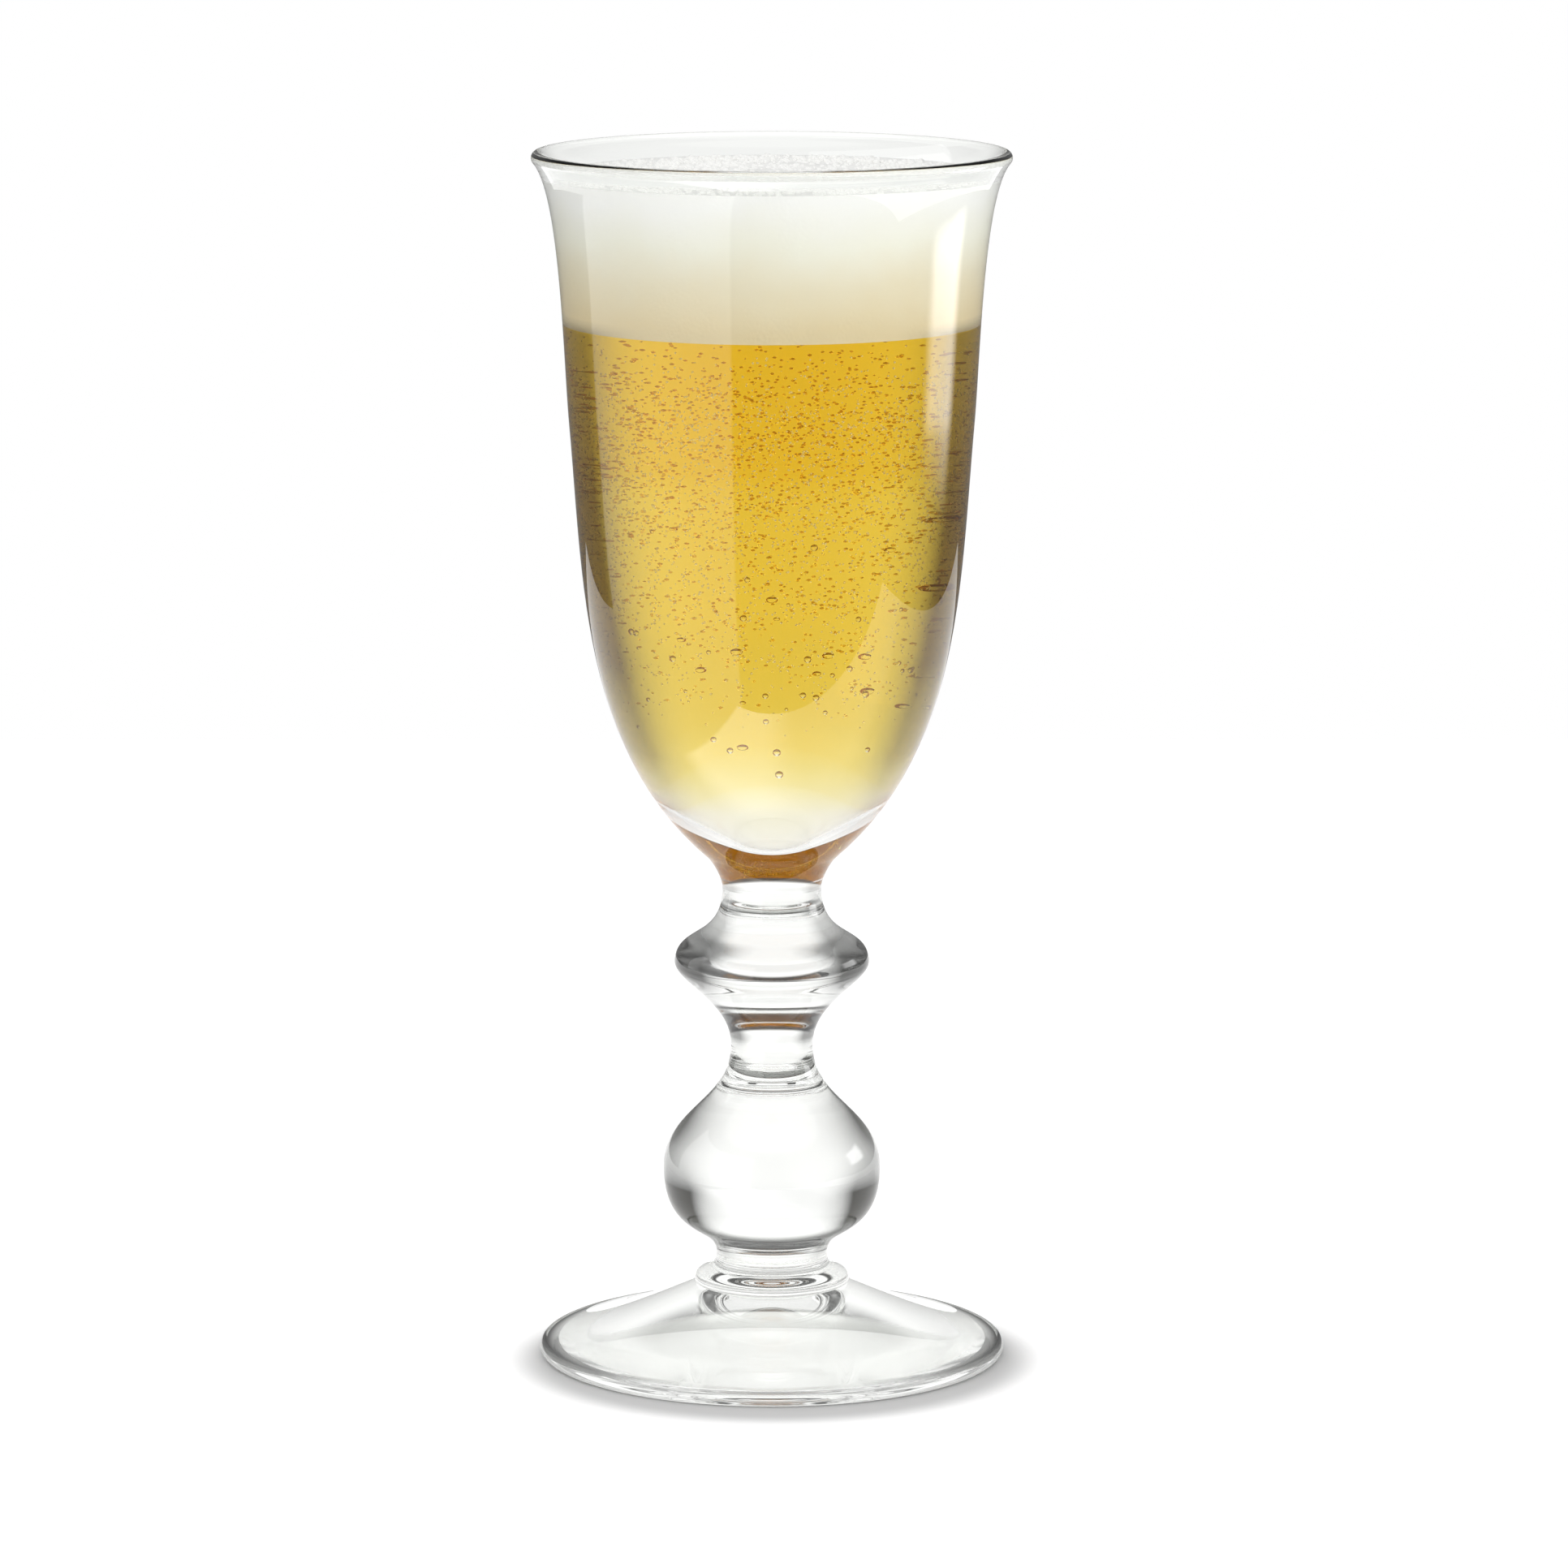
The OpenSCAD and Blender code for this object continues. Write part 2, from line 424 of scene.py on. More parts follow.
class Wire:
    """Output of a shader node, with the arithmetic of its values."""

    def __init__(self, board: "Board", socket: bpy.types.NodeSocket) -> None:
        """Keeps the board and the socket."""
        self.board = board
        self.socket = socket

    def maths(self, operation: str, *values: "Wire | float") -> "Wire":
        """Adds a Math node that works on values."""
        return self.board.node("ShaderNodeMath", {"operation": operation}, dict(enumerate(values)))

    def __add__(self, other: "Wire | float") -> "Wire":
        """Adds."""
        return self.maths("ADD", self, other)

    __radd__ = __add__

    def __sub__(self, other: "Wire | float") -> "Wire":
        """Subtracts."""
        return self.maths("SUBTRACT", self, other)

    def __rsub__(self, other: float) -> "Wire":
        """Subtracts from a number."""
        return self.maths("SUBTRACT", other, self)

    def __mul__(self, other: "Wire | float") -> "Wire":
        """Multiplies."""
        return self.maths("MULTIPLY", self, other)

    __rmul__ = __mul__

    def __truediv__(self, other: "Wire | float") -> "Wire":
        """Divides."""
        return self.maths("DIVIDE", self, other)

    def larger(self, other: "Wire | float") -> "Wire":
        """Keeps the larger value."""
        return self.maths("MAXIMUM", self, other)

    def smaller(self, other: "Wire | float") -> "Wire":
        """Keeps the smaller value."""
        return self.maths("MINIMUM", self, other)

    def root(self) -> "Wire":
        """Takes the square root."""
        return self.maths("SQRT", self)

    def angle_from(self, other: "Wire") -> "Wire":
        """Gives the angle, in degrees, whose tangent is this value over the other."""
        return self.maths("ARCTAN2", self, other) * math.degrees(1.0)

    def rise(self, low: "Wire | float", high: "Wire | float") -> "Wire":
        """Goes smoothly from 0 at the low value to 1 at the high one."""
        ends = {"Value": self, "From Min": low, "From Max": high}
        return self.board.node("ShaderNodeMapRange", {"interpolation_type": "SMOOTHSTEP"}, ends)

    def fall(self, low: "Wire | float", high: "Wire | float") -> "Wire":
        """Goes smoothly from 1 at the low value to 0 at the high one."""
        return 1 - self.rise(low, high)


class Board:
    """Node tree under construction."""

    EVEN_BLEND = 0.5

    def __init__(self, tree: bpy.types.NodeTree) -> None:
        """Empties the tree."""
        self.tree = tree
        tree.nodes.clear()

    def node(
        self,
        kind: str,
        settings: dict[str, object] | None = None,
        inputs: dict[str | int, object] | None = None,
        out: str | int = 0,
    ) -> Wire | None:
        """Adds a node.

        Args:
            kind: Type of the node.
            settings: Its settings, set before its sockets. A ramp's stops are pairs of place and colour.
            inputs: Values or wires for its sockets, by name or place.
            out: The output to give back, by name or place.

        Returns:
            That output, or None where the node has none.
        """
        made = self.tree.nodes.new(kind)
        for name, value in (settings or {}).items():
            if name == "stops":
                self._stops(made.color_ramp, value)
            else:
                setattr(made, name, value)
        for name, value in (inputs or {}).items():
            if isinstance(value, Wire):
                self.tree.links.new(value.socket, made.inputs[name])
            else:
                made.inputs[name].default_value = value
        return Wire(self, made.outputs[out]) if made.outputs else None

    @staticmethod
    def _stops(ramp: bpy.types.ColorRamp, stops: Iterable[tuple[float, Colour]]) -> None:
        """Sets the stops of a colour ramp.

        Args:
            ramp: The ramp.
            stops: Place and colour of each stop.
        """
        for i, (place, colour) in enumerate(stops):
            stop = ramp.elements[i] if i < len(ramp.elements) else ramp.elements.new(place)
            stop.position, stop.color = place, (*colour, 1.0)

    def parts(self, vector: Wire) -> tuple[Wire, Wire, Wire]:
        """Takes a vector apart.

        Args:
            vector: The vector.

        Returns:
            Its x, y and z.
        """
        nodes = self.node("ShaderNodeSeparateXYZ", {}, {"Vector": vector}).socket.node
        return tuple(Wire(self, output) for output in nodes.outputs)

    def ray(self, kind: Ray) -> Wire:
        """Says, as 1 or 0, whether the ray is of a kind, or counts its bounces."""
        return self.node("ShaderNodeLightPath", out=kind.value)

    def object_place(self) -> Wire:
        """Gives the place on the piece, in metres."""
        return self.node("ShaderNodeTexCoord", out="Object")

    def noise(self, scale: float, detail: float) -> Wire:
        """Adds cloudy noise, from 0 to 1, with waves in a metre and a number of finer layers."""
        inputs = {"Vector": self.object_place(), "Scale": scale, "Detail": detail}
        return self.node("ShaderNodeTexNoise", {}, inputs)

    def bump(self, height: Wire, depth: float) -> Wire:
        """Gives the normal of a surface that is raised by a height times a depth in metres."""
        return self.node("ShaderNodeBump", {}, {"Distance": depth, "Height": height})

    def slant(self, inputs: dict[str, Wire]) -> Wire:
        """Says how far the surface, or the normal among the inputs, turns away: 0 straight on, 1 edge on."""
        return self.node("ShaderNodeLayerWeight", {}, {"Blend": self.EVEN_BLEND, **inputs}, out="Facing")

    def ramp(self, stops: Sequence[tuple[float, Colour]], share: Wire) -> Wire:
        """Reads a colour off a ramp."""
        return self.node("ShaderNodeValToRGB", {"stops": stops}, {"Fac": share}, out="Color")

    def clear(self) -> Wire:
        """Adds a shader that light crosses unchanged."""
        return self.node("ShaderNodeBsdfTransparent", {}, {"Color": WHITE})


class Finish:
    """Finish of a surface, whose fields say how its material looks."""

    name: str

    def make(self) -> bpy.types.Material:
        """Makes the material.

        Returns:
            The material.
        """
        material = bpy.data.materials.new(self.name)
        material.use_nodes = True
        board = Board(material.node_tree)
        board.node("ShaderNodeOutputMaterial", {}, self.sockets(board))
        return material

    def sockets(self, board: Board) -> dict[str, Wire]:
        """Gives the shaders of the material, by the socket of its output."""
        raise NotImplementedError


@dataclass(frozen=True)
class PaintedEdgeShade:
    """How far painted shade darkens the glass at one height, where it is seen at a slant.

    Attributes:
        height: Height in the frame.
        start: Slant at which it starts to darken, from 0 straight on to 1 edge on.
        full: Slant from which it is as dark as it gets.
        share: How dark that is, from 0 for clear to 1.
    """

    height: float
    start: float
    full: float
    share: float


# Painted shade at the edges of the stem's glass, by height, for the dark surroundings seen through them.
STEM_PAINTED_EDGE_SHADE = (
    PaintedEdgeShade(15.0, 0.15, 0.5, 0.0),
    PaintedEdgeShade(20.0, 0.12, 0.45, 0.8),
    PaintedEdgeShade(24.0, 0.08, 0.36, 1.0),
    PaintedEdgeShade(30.0, 0.09, 0.37, 1.0),
    PaintedEdgeShade(36.0, 0.12, 0.6, 0.12),
    PaintedEdgeShade(52.0, 0.12, 0.5, 0.1),
    PaintedEdgeShade(54.0, 0.1, 0.35, 0.9),
    PaintedEdgeShade(59.0, 0.1, 0.35, 0.9),
    PaintedEdgeShade(61.0, 0.2, 0.6, 0.3),
    PaintedEdgeShade(65.0, 0.06, 0.32, 1.0),
    PaintedEdgeShade(70.0, 0.1, 0.4, 0.9),
    PaintedEdgeShade(76.0, 0.2, 0.5, 0.3),
)
# Painted shade at the edges of the bowl, by height, for the dark sides of the glass and the beer.
BOWL_PAINTED_EDGE_SHADE = (
    PaintedEdgeShade(78.0, 0.15, 0.4, 0.8),
    PaintedEdgeShade(81.0, 0.15, 0.4, 0.2),
    PaintedEdgeShade(93.0, 0.15, 0.45, 0.2),
    PaintedEdgeShade(103.0, 0.12, 0.45, 0.8),
    PaintedEdgeShade(118.0, 0.12, 0.5, 0.98),
    PaintedEdgeShade(145.0, 0.14, 0.58, 0.98),
    PaintedEdgeShade(172.0, 0.14, 0.58, 0.9),
    PaintedEdgeShade(174.0, 0.14, 0.58, 0.0),
)


@dataclass(frozen=True)
class ClearGlass(Finish):
    """Polished, slightly wavy glass, against air or what wets it, with painted shade at its edges where any
    are listed.
    """

    name: str = "clear_glass"
    tint: Colour = (0.965, 0.975, 0.955)
    index: float = GLASS_INDEX
    wave_scale: float = 55.0
    wave_depth: float = 0.03
    smear_scale: float = 160.0
    smear_range: Span = (0.55, 0.8)
    smear_roughness: float = 0.012
    # Painted edge shade: its dark colour, its table by height, the height that table spans, and the slant of
    # the glass's own face from which it shows.
    dark: Colour = (0.004, 0.0038, 0.003)
    edges: tuple[PaintedEdgeShade, ...] = ()
    edge_height: float = 200.0
    turned_range: Span = (0.0, 0.05)

    def sockets(self, board: Board) -> dict[str, Wire]:
        """Gives the shaders of the material.

        Args:
            board: Node tree of the material.

        Returns:
            The shaders, by the socket of the material's output.
        """
        wave = board.noise(self.wave_scale, detail=1.0)
        smear = board.noise(self.smear_scale, detail=3.0).rise(*self.smear_range)
        colour = self._painted_edge_shade_colour(board) if self.edges else (*self.tint, 1.0)
        shader = board.node("ShaderNodeBsdfPrincipled", {}, {
            "Base Color": colour,
            "Roughness": smear * self.smear_roughness,
            "IOR": self.index,
            "Transmission Weight": 1.0,
            "Normal": board.bump(wave, self.wave_depth * MM),
        })
        return {"Surface": shader}

    def _painted_edge_shade_colour(self, board: Board) -> Wire:
        """Paints shade onto the glass's edges, starting nearer the middle at some heights than at others; it
        stands in for the dark surroundings seen through them.

        Args:
            board: Node tree of the material.

        Returns:
            The colour of the glass, with the painted edge shade in it.
        """
        x, y, z = board.parts(board.object_place())
        stops = [
            (edge.height / self.edge_height, (edge.start, edge.full, edge.share)) for edge in self.edges
        ]
        start, full, share = board.parts(board.ramp(stops, z / (self.edge_height * MM)))
        level = board.node("ShaderNodeCombineXYZ", {}, {"X": x, "Y": y, "Z": 0.0})
        outward = board.node("ShaderNodeVectorMath", {"operation": "NORMALIZE"}, {0: level})
        turned = board.slant({}).rise(*self.turned_range)
        # Painted shade: darker where the level outward direction turns away from the ray.
        shade = board.slant({"Normal": outward}).rise(start, full) * share * turned
        return board.ramp([(0.0, self.tint), (1.0, self.dark)], shade)


@dataclass(frozen=True)
class FusedSeam(Finish):
    """Face where two gathers of glass are fused, which light crosses unchanged."""

    name: str = "fused_seam"

    def sockets(self, board: Board) -> dict[str, Wire]:
        """Gives the shaders of the material."""
        return {"Surface": board.clear()}


@dataclass(frozen=True)
class GoldenBeer(Finish):
    """Clear golden beer, which takes blue first as light goes deeper."""

    name: str
    density: float
    colour: Colour = (0.945, 0.815, 0.032)

    def sockets(self, board: Board) -> dict[str, Wire]:
        """Gives the shaders of the material."""
        inputs = {"Color": (*self.colour, 1.0), "Density": self.density}
        return {"Surface": board.clear(), "Volume": board.node("ShaderNodeVolumeAbsorption", {}, inputs)}


@dataclass(frozen=True)
class GasBubble(Finish):
    """Skin of a bubble of gas in the beer, whose colour, where it is less than fully clear, is a painted
    glint.
    """

    name: str = "gas_bubble"
    index: float = 0.75
    colour: Colour = (1.0, 1.0, 1.0)
    clear: float = 1.0
    roughness: float = 0.0

    def sockets(self, board: Board) -> dict[str, Wire]:
        """Gives the shaders of the material.

        Args:
            board: Node tree of the material.

        Returns:
            The shaders, by the socket of the material's output.
        """
        shader = board.node("ShaderNodeBsdfPrincipled", {}, {
            "Base Color": (*self.colour, 1.0),
            "Roughness": self.roughness,
            "IOR": self.index,
            "Transmission Weight": self.clear,
        })
        return {"Surface": shader}


@dataclass(frozen=True)
class BeerFoam(Finish):
    """Fine foam, cream where it lies on the beer and white at the top, pebbled by its bubbles."""

    low: float
    high: float
    name: str = "beer_foam"
    tones: tuple[tuple[float, Colour], ...] = (
        (0.08, (0.8, 0.68, 0.43)),
        (0.36, (0.84, 0.77, 0.58)),
        (0.64, (0.92, 0.91, 0.8)),
        (0.92, (0.97, 0.97, 0.95)),
    )
    drift: float = 7.0
    drift_scale: float = 70.0
    cell_scale: float = 1500.0
    cell_depth: float = 0.05
    patch_scale: float = 90.0
    patch_range: Span = (0.4, 0.65)
    roughness: float = 0.55
    patch_gloss: float = 0.2
    index: float = 1.33

    def sockets(self, board: Board) -> dict[str, Wire]:
        """Gives the shaders of the material.

        Args:
            board: Node tree of the material.

        Returns:
            The shaders, by the socket of the material's output.
        """
        place = board.object_place()
        height = board.parts(place)[2] / MM
        drift = (board.noise(self.drift_scale, detail=3.0) - 0.5) * self.drift
        level = (height + drift - self.low) / (self.high - self.low)
        pattern = {"Vector": place, "Scale": self.cell_scale}
        cells = board.node("ShaderNodeTexVoronoi", {}, pattern, out="Distance")
        patch = board.noise(self.patch_scale, detail=2.0).rise(*self.patch_range)
        shader = board.node("ShaderNodeBsdfPrincipled", {}, {
            "Base Color": board.ramp(self.tones, level),
            "Roughness": self.roughness - self.patch_gloss * patch,
            "IOR": self.index,
            "Normal": board.bump(cells * patch, self.cell_depth * MM),
        })
        return {"Surface": shader}


@dataclass(frozen=True)
class PaleTable(Finish):
    """Plain pale table top, white to the camera and through the glass, which keeps the shadow, with a painted
    contact shadow and a painted glow in front.
    """

    name: str = "pale_table"
    colour: Colour = (0.67, 0.67, 0.67)
    # Glow that makes it white to the camera and, a little less, through the glass.
    lift: float = 0.5
    lift_through: float = 0.42
    # Painted glow in front of the glass, for mirrored rays only: its edges, and how it weakens to the right.
    mirror_glow: float = 2.6
    mirror_left: Span = (-144.0, -136.0)
    mirror_slant: float = 0.44
    mirror_right: Span = (-25.0, 50.0)
    mirror_right_share: float = 0.2
    mirror_edge: Span = (-60.0, -20.0)
    # Painted contact shadow: a ring about its own middle, without glow between the two radii.
    shadow_place: Span = (0.5, -5.5)
    under: Span = (28.0, 33.0)
    away: Span = (37.5, 46.0)
    # Painted shadow through the glass: a narrower ring about the axis, which takes the contact shadow's place
    # there.
    touch_in: Span = (35.0, 37.5)
    touch_out: Span = (38.5, 41.0)
    touch_through: float = 0.1

    def sockets(self, board: Board) -> dict[str, Wire]:
        """Gives the shaders of the material.

        Args:
            board: Node tree of the material.

        Returns:
            The shaders, by the socket of the material's output.
        """
        passing = board.ray(Ray.TRANSMISSION)
        glossy = board.ray(Ray.GLOSSY)
        seen = board.ray(Ray.CAMERA).larger(glossy).larger(passing)
        mirrored = glossy * (1 - passing)
        x, y, _ = board.parts(board.object_place())
        beside, before = (place - middle * MM for place, middle in zip((x, y), self.shadow_place))
        distance = (beside * beside + before * before).root() / MM
        # Painted contact shadow: no glow in a ring round the foot, and a narrower one seen through the glass.
        open_table = distance.rise(*self.away).larger(distance.fall(*self.under))
        radius = (x * x + y * y).root() / MM
        free = radius.rise(*self.touch_out).larger(radius.fall(*self.touch_in))
        free = self.touch_through + (1 - self.touch_through) * free
        open_table = open_table + (free - open_table) * passing
        lift = self.lift + (self.lift_through - self.lift) * passing
        # Painted glow, seen only in reflections, on the table in front of the glass.
        painted_glow_area = ((x + self.mirror_slant * y) / MM).rise(*self.mirror_left)
        painted_glow_area = painted_glow_area * (1 - (1 - self.mirror_right_share) * (x / MM).rise(*self.mirror_right))
        painted_glow_area = painted_glow_area * (y / MM).fall(*self.mirror_edge)
        light = seen * open_table * lift + mirrored * self.mirror_glow * painted_glow_area
        matt = board.node("ShaderNodeBsdfDiffuse", {}, {"Color": (*self.colour, 1.0)})
        glow = board.node("ShaderNodeEmission", {}, {"Color": light})
        return {"Surface": board.node("ShaderNodeAddShader", {}, {0: matt, 1: glow})}


@dataclass(frozen=True)
class CardLight(Finish):
    """Glow of an upright card, bent about the axis of the glass, that fades towards its edges.

    Attributes:
        name: Name of the material.
        card: Name of the card.
        glow: Strength of its light.
        first: Azimuth of its first edge from the camera's side, in degrees to the right.
        last: Azimuth of its last edge.
        soft_angle: Width of the fading at those edges, in degrees.
        distance: Distance from the axis, in metres.
        low: Height of its lower edge, in metres.
        high: Height of its upper edge, in metres.
        soft_height: Height of the fading at those edges, in metres.
        only_gleams: Whether it shows only as a gleam, and lights nothing.
    """

    name: str
    card: str
    glow: float
    first: float
    last: float
    soft_angle: float
    distance: float
    low: float
    high: float
    soft_height: float
    only_gleams: bool = False

    def sockets(self, board: Board) -> dict[str, Wire]:
        """Gives the shaders of the material.

        Args:
            board: Node tree of the material.

        Returns:
            The shaders, by the socket of the material's output.
        """
        x, y, z = board.parts(board.object_place())
        turn = x.angle_from(0 - y)
        across = turn.rise(self.first, self.first + self.soft_angle)
        across = across * turn.fall(self.last - self.soft_angle, self.last)
        up = z.rise(self.low, self.low + self.soft_height) * z.fall(self.high - self.soft_height, self.high)
        glow = board.node("ShaderNodeEmission", {}, {"Color": WHITE, "Strength": self.glow})
        return {"Surface": board.node("ShaderNodeMixShader", {}, {0: across * up, 1: board.clear(), 2: glow})}


class Piece:
    @staticmethod
    def hand_in(piece: bpy.types.Object, slot: Slot, *nodes: str) -> bpy.types.Object:
        """Rides a piece on the part's body and hides the CAD nodes that it replaces.

        Args:
            piece: The finished piece.
            slot: Not used.
            nodes: CAD nodes that it replaces.

        Returns:
            The piece.
        """
        Bench.clear()
        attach(piece, BODY)
        if nodes:
            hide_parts(*nodes)
        return piece


@dataclass(frozen=True)
class ToolMarks:
    """Fine rings that the jacks left on the hot stem."""

    width: float = 0.34
    depth: float = 0.035


@dataclass
class Stem:
    """Foot, ring and the two knops, each a gather of glass fused to the next."""

    glass: bpy.types.Material
    seam: bpy.types.Material
    marks: ToolMarks = ToolMarks()
    steps: int = 18
    segments: int = 160

    foot_diameter: float = 77.2
    foot_height: float = 12.0
    foot_edge_thickness: float = 2.5
    foot_rest_width: float = 2.4
    foot_hollow_height: float = 8.6
    foot_edge_slope: float = 9.0
    foot_boss_slope: float = 24.0
    foot_pull: float = 0.28
    hollow_middle_pull: float = 0.34
    hollow_rim_pull: float = 0.35
    hollow_rim_slope: float = 7.0

    boss_diameter: float = 24.6
    ring_diameter: float = 25.6
    ring_height: float = 4.7
    ring_bulge_height: float = 0.7
    ring_pulls: Span = (0.5, 0.72)
    ring_marks: tuple[float, ...] = (0.62, 0.84)

    ankle_diameter: float = 18.4
    ball_diameter: float = 36.0
    ball_height: float = 35.5
    ball_equator_height: float = 14.7
    ball_low_pulls: Span = (0.38, 0.81)
    ball_high_pulls: Span = (0.46, 0.48)
    ball_marks: tuple[float, ...] = (0.70, 0.725, 0.765, 0.805)

    stem_diameter: float = 13.6
    knop_diameter: float = 32.2
    knop_height: float = 26.4
    knop_equator_height: float = 13.9
    knop_low_pulls: Span = (0.51, 0.21)
    knop_high_pulls: Span = (0.44, 0.73)
    knop_marks: tuple[float, ...] = (0.66,)

    neck_diameter: float = 16.4

    @property
    def ring_z(self) -> float:
        """Height of the seam between foot and ring."""
        return self.foot_height

    @property
    def ball_z(self) -> float:
        """Height of the seam between ring and ball."""
        return self.ring_z + self.ring_height

    @property
    def knop_z(self) -> float:
        """Height of the seam between ball and upper knop."""
        return self.ball_z + self.ball_height

    @property
    def bowl_z(self) -> float:
        """Height of the seam between upper knop and bowl."""
        return self.knop_z + self.knop_height

    def build(self) -> list[bpy.types.Object]:
        """Builds and dresses the four pieces.

        Returns:
            The pieces, from the foot up.
        """
        return [
            self._finish("foot_glass", self._foot(), "foot", self.ring_z),
            self._finish("foot_ring_glass", self._ring(), "foot_ring", self.ring_z, self.ball_z),
            self._finish("ball_knop_glass", self._ball(), "ball_knop", self.ball_z, self.knop_z),
            self._finish("upper_knop_glass", self._knop(), "upper_knop", self.knop_z, self.bowl_z),
        ]

    def _finish(self, name: str, outline: Outline, node: str, *seams: float) -> bpy.types.Object:
        """Turns a half-section, dresses it and rides it on the part's body in place of its CAD node.

        Args:
            name: Name of the piece.
            outline: Its half-section.
            node: The CAD node that it replaces.
            seams: Heights of its fused faces.

        Returns:
            The piece.
        """
        def is_fused(centre: Vector, normal: Vector) -> bool:
            """Says whether a face closes the piece at one of its seams."""
            on_seam = any(abs(centre.z - seam) < SEAM_REACH for seam in seams)
            return on_seam and centre.xy.length < SEAM_REACH

        piece = Bench.turn(name, outline, self.steps, self.segments)
        Bench.coat(piece, self.glass)
        Bench.coat(piece, self.seam, is_fused)
        return Piece.hand_in(piece, Slot.GLASS, node)

    def _foot(self) -> Outline:
        """Draws the foot: the hollow from the middle out, the rounded edge, the face back in to the ring.

        Returns:
            The half-section.
        """
        edge = spot((self.foot_diameter - self.foot_edge_thickness) / 2, self.foot_edge_thickness)
        boss = spot(self.boss_diameter / 2, self.ring_z)
        width = edge.x - boss.x
        reach = edge.x - self.foot_rest_width
        hollow = (
            spot(0.0, self.foot_hollow_height),
            spot(reach * self.hollow_middle_pull, self.foot_hollow_height),
            spot(reach, 0.0) + lean(self.hollow_rim_slope - 90) * reach * self.hollow_rim_pull,
            spot(reach, 0.0),
        )
        low, rest = hollow[3], spot(edge.x, 0.0)
        face = (
            edge,
            edge + lean(self.foot_edge_slope - 90) * width * self.foot_pull,
            boss - lean(self.foot_boss_slope - 90) * width * self.foot_pull,
            boss,
        )
        outline = Outline().add(hollow, (low, low.lerp(rest, 1 / 3), low.lerp(rest, 2 / 3), rest))
        outline.arc(spot(edge.x, edge.y / 2), edge.y / 2, -90, 90)
        return outline.add(face)

    def _ring(self) -> Outline:
        """Draws the ring: a short bulge over the foot, then the flank in to the ankle.

        Returns:
            The half-section.
        """
        edge = spot(self.boss_diameter / 2, self.ring_z)
        bulge = spot(self.ring_diameter / 2, self.ring_z + self.ring_bulge_height)
        corner = spot(bulge.x, edge.y)
        side = flank(bulge, spot(self.ankle_diameter / 2, self.ball_z), self.ring_pulls)
        outline = Outline().add((edge, corner, corner, bulge))
        return outline.marked(side, self.ring_marks, self.marks.width, self.marks.depth)

    def _ball(self) -> Outline:
        """Draws the ball knop, from the ankle up to the waist under the upper knop.

        Returns:
            The half-section.
        """
        ankle = spot(self.ankle_diameter / 2, self.ball_z)
        equator = spot(self.ball_diameter / 2, self.ball_z + self.ball_equator_height)
        waist = spot(self.stem_diameter / 2, self.knop_z)
        outline = Outline().add(flank(ankle, equator, self.ball_low_pulls))
        upper = flank(equator, waist, self.ball_high_pulls)
        return outline.marked(upper, self.ball_marks, self.marks.width, self.marks.depth)

    def _knop(self) -> Outline:
        """Draws the upper knop, from its lower waist up to the neck of the bowl.

        Returns:
            The half-section.
        """
        waist = spot(self.stem_diameter / 2, self.knop_z)
        equator = spot(self.knop_diameter / 2, self.knop_z + self.knop_equator_height)
        neck = spot(self.neck_diameter / 2, self.bowl_z)
        outline = Outline().add(flank(waist, equator, self.knop_low_pulls))
        upper = flank(equator, neck, self.knop_high_pulls)
        return outline.marked(upper, self.knop_marks, self.marks.width, self.marks.depth)


